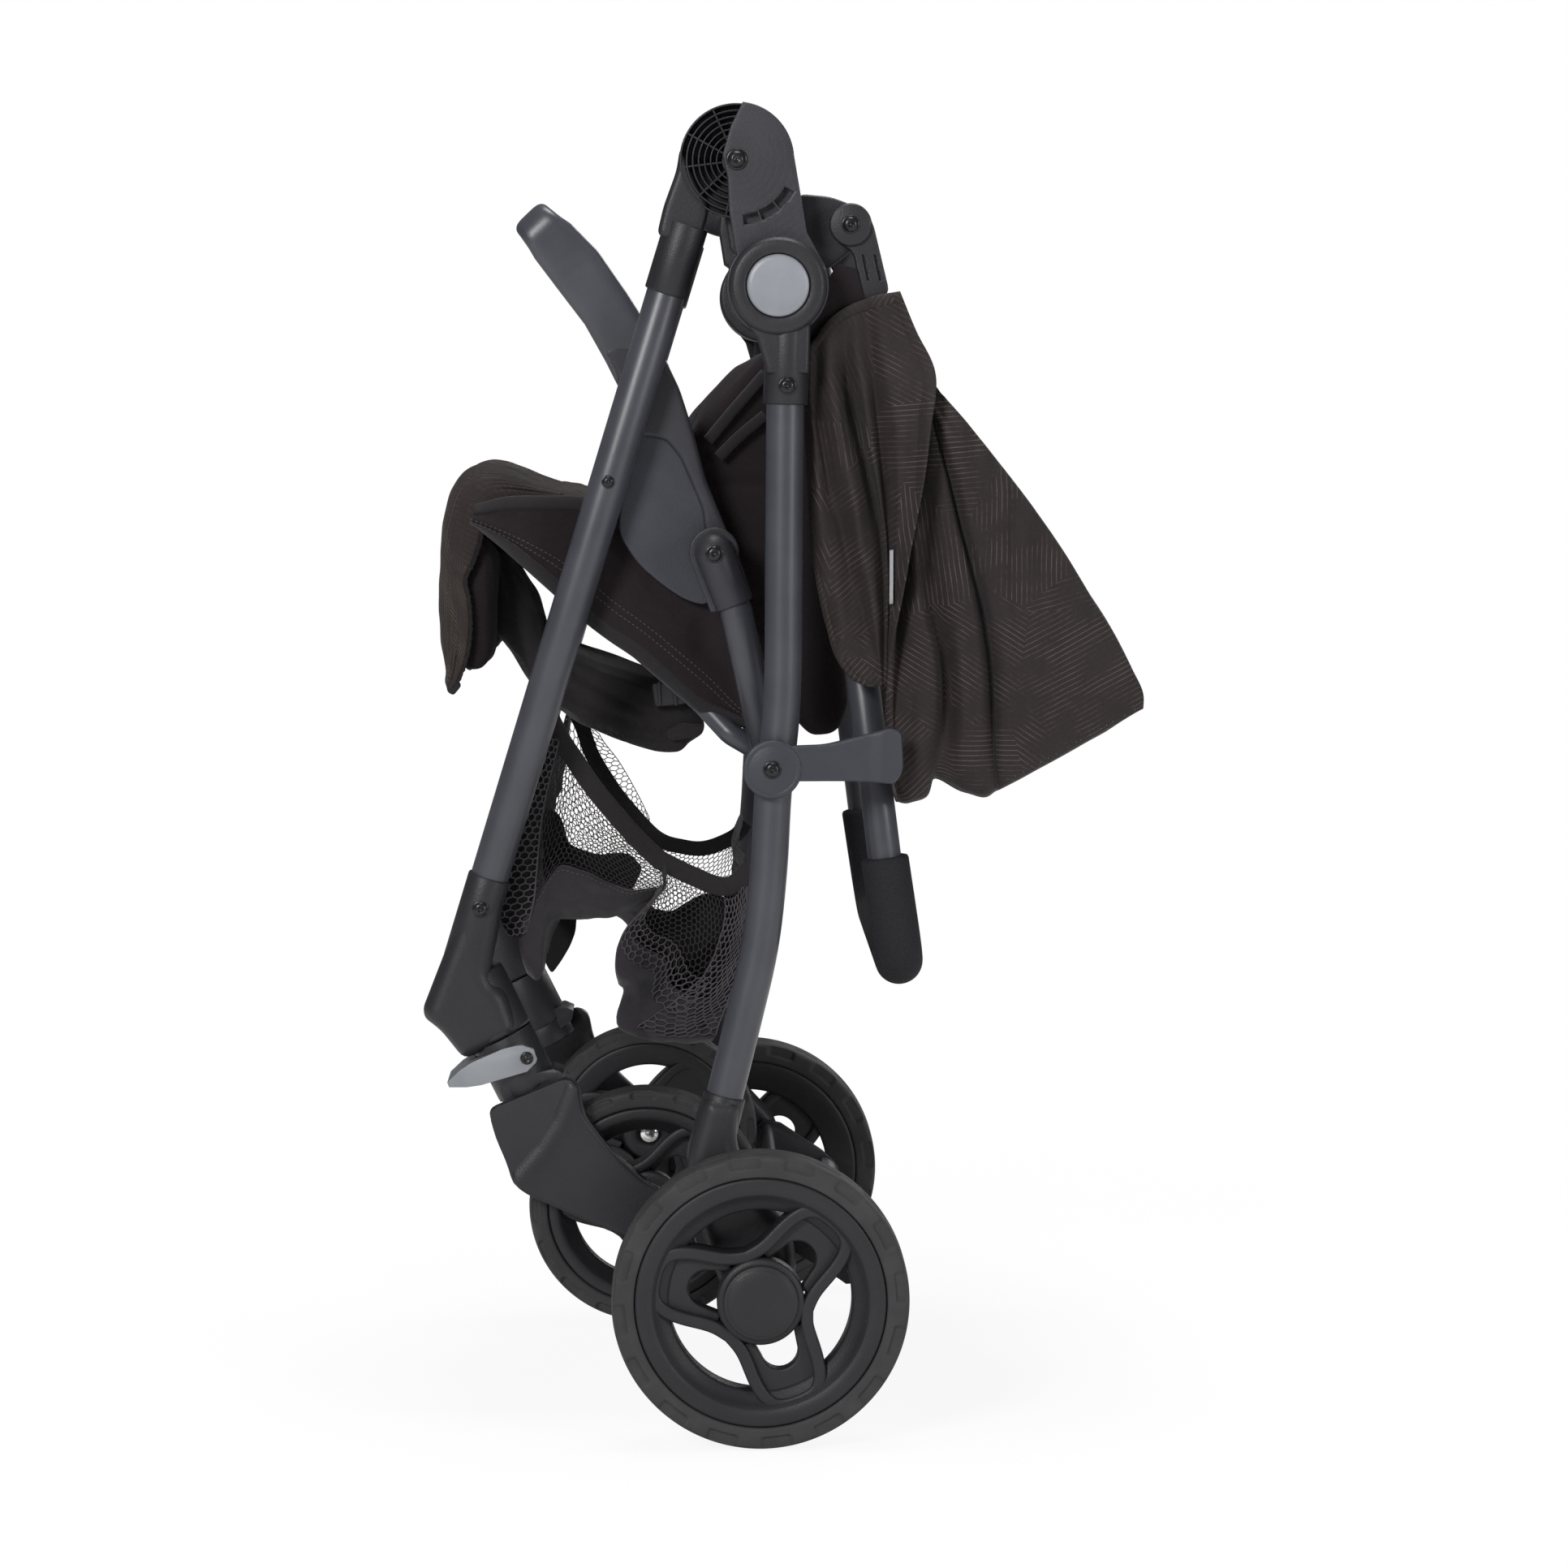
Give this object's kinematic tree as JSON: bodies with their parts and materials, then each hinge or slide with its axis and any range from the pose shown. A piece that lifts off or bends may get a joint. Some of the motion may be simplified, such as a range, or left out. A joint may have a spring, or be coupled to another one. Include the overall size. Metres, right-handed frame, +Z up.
{
  "type": "compact stroller",
  "caption": "Compact folding stroller shown folded: tube frame with coupled fold, reclined seat, folding hood, basket, swivelling front wheels and rear brake.",
  "frame": {"origin": "centre of the bounding box on the floor under the rear wheels, with the stroller folded and upright", "axes": "+Z up, -X forward in the direction of travel, -Y to the side that carries the storage latch"},
  "size_m": [0.4853, 0.5484, 0.893],
  "materials": {
    "tube_paint": "satin",
    "frame_plastic": "matte",
    "rim_plastic": "satin",
    "tyre_rubber": "matte",
    "lever_grey": "satin",
    "reflector_grey": "reflective",
    "chrome": "polished",
    "grip_foam": "soft foam",
    "side_grey": "satin",
    "seat_fabric": "woven",
    "canopy_fabric": "printed weave",
    "basket_net": "mesh"
  },
  "bodies": {
    "rear_frame": {"rear_leg_left": "tube_paint", "rear_leg_right": "tube_paint", "rear_leg_head_left": "frame_plastic", "rear_leg_head_right": "frame_plastic", "reflector_cap_left": "reflector_grey", "reflector_cap_right": "reflector_grey", "rear_foot_left": "frame_plastic", "rear_foot_right": "frame_plastic", "rear_axle_tube": "tube_paint", "rear_cross_tube": "tube_paint", "backrest_lower": "seat_fabric", "basket": "basket_net"},
    "brake": {"brake_pedal": "frame_plastic"},
    "latch": {"storage_latch": "frame_plastic"},
    "rear_wheel_left": {"rear_rim_left": "rim_plastic", "rear_tyre_left": "tyre_rubber", "rear_hub_cap_left": "rim_plastic"},
    "rear_wheel_right": {"rear_rim_right": "rim_plastic", "rear_tyre_right": "tyre_rubber", "rear_hub_cap_right": "rim_plastic"},
    "handle_frame": {"hinge_housing_left": "frame_plastic", "hinge_housing_right": "frame_plastic", "hinge_cover_left": "frame_plastic", "hinge_cover_right": "frame_plastic", "fold_pin_left": "chrome", "fold_pin_right": "chrome", "handle_tube": "tube_paint", "handle_grip": "grip_foam", "backrest_upper": "seat_fabric"},
    "canopy": {"canopy_arm_left": "frame_plastic", "canopy_arm_right": "frame_plastic", "canopy_bow": "tube_paint", "canopy_hood": "canopy_fabric"},
    "front_frame": {"front_leg_head_left": "frame_plastic", "front_leg_head_right": "frame_plastic", "front_leg_left": "tube_paint", "front_leg_right": "tube_paint", "front_foot_left": "frame_plastic", "front_foot_right": "frame_plastic", "front_cross_tube": "tube_paint"},
    "caster_left": {"caster_fork_left": "frame_plastic", "front_axle_bolt_left": "chrome"},
    "caster_right": {"caster_fork_right": "frame_plastic", "front_axle_bolt_right": "chrome"},
    "swivel_lock_left": {"swivel_lock_lever_left": "lever_grey"},
    "swivel_lock_right": {"swivel_lock_lever_right": "lever_grey"},
    "front_wheel_left": {"front_rim_left": "rim_plastic", "front_tyre_left": "tyre_rubber"},
    "front_wheel_right": {"front_rim_right": "rim_plastic", "front_tyre_right": "tyre_rubber"},
    "seat_frame": {"seat_side_left": "side_grey", "seat_side_right": "side_grey", "bumper_bar": "frame_plastic", "seat_tube_cap_left": "frame_plastic", "seat_tube_cap_right": "frame_plastic", "seat_tube_left": "tube_paint", "seat_tube_right": "tube_paint", "seat_base_tube": "tube_paint", "seat_pan": "seat_fabric"},
    "calf_support": {"calf_rest": "seat_fabric"}
  },
  "joints": [
    {"name": "handle_fold", "type": "hinge", "parent": "rear_frame", "child": "handle_frame", "pos_m": [-0.004, 0, 0.772], "axis": [0, -1, 0], "range_deg": [0, 113.3]},
    {"name": "front_leg_fold", "type": "hinge", "parent": "handle_frame", "child": "front_frame", "pos_m": [-0.031, 0, 0.855], "axis": [0, -1, 0], "range_deg": [-151.2, 0]},
    {"name": "seat_fold", "type": "hinge", "parent": "rear_frame", "child": "seat_frame", "pos_m": [-0.008, 0, 0.452], "axis": [0, -1, 0], "range_deg": [0, 28.5]},
    {"name": "canopy_fold", "type": "hinge", "parent": "handle_frame", "child": "canopy", "pos_m": [0.045, 0, 0.813], "axis": [0, -1, 0], "range_deg": [0, 90]},
    {"name": "calf_rest_hinge", "type": "hinge", "parent": "seat_frame", "child": "calf_support", "pos_m": [-0.201, 0, 0.62], "axis": [0, -1, 0], "range_deg": [-90, 0]},
    {"name": "rear_wheel_spin_left", "type": "hinge", "parent": "rear_frame", "child": "rear_wheel_left", "pos_m": [-0.0165, -0.256, 0.09937], "axis": [0, -1, 0], "continuous": true},
    {"name": "rear_wheel_spin_right", "type": "hinge", "parent": "rear_frame", "child": "rear_wheel_right", "pos_m": [-0.0165, 0.256, 0.09937], "axis": [0, -1, 0], "continuous": true},
    {"name": "caster_swivel_left", "type": "hinge", "parent": "front_frame", "child": "caster_left", "pos_m": [-0.181, -0.152, 0.24], "axis": [-0.4472, 0, 0.8944], "range_deg": [-20, 200]},
    {"name": "caster_swivel_right", "type": "hinge", "parent": "front_frame", "child": "caster_right", "pos_m": [-0.181, 0.152, 0.24], "axis": [-0.4472, 0, 0.8944], "range_deg": [-200, 20]},
    {"name": "swivel_lock_left", "type": "hinge", "parent": "caster_left", "child": "swivel_lock_left", "pos_m": [-0.174, -0.15, 0.25], "axis": [0, -1, 0], "range_deg": [0, 6]},
    {"name": "swivel_lock_right", "type": "hinge", "parent": "caster_right", "child": "swivel_lock_right", "pos_m": [-0.174, 0.15, 0.25], "axis": [0, -1, 0], "range_deg": [0, 6]},
    {"name": "front_wheel_spin_left", "type": "hinge", "parent": "caster_left", "child": "front_wheel_left", "pos_m": [-0.0925, -0.15, 0.145], "axis": [0, -1, 0], "continuous": true},
    {"name": "front_wheel_spin_right", "type": "hinge", "parent": "caster_right", "child": "front_wheel_right", "pos_m": [-0.0925, 0.15, 0.145], "axis": [0, -1, 0], "continuous": true},
    {"name": "brake_step", "type": "hinge", "parent": "rear_frame", "child": "brake", "pos_m": [-0.003, 0, 0.137], "axis": [0, -1, 0], "range_deg": [-12, 0]},
    {"name": "storage_latch_turn", "type": "hinge", "parent": "rear_frame", "child": "latch", "pos_m": [-0.008, -0.231, 0.452], "axis": [0, -1, 0], "range_deg": [0, 25]}
  ],
  "couplings": [
    {"joint": "front_leg_fold", "follows": "handle_fold", "ratio": -1.333},
    {"joint": "seat_fold", "follows": "handle_fold", "ratio": 0.2507}
  ]
}
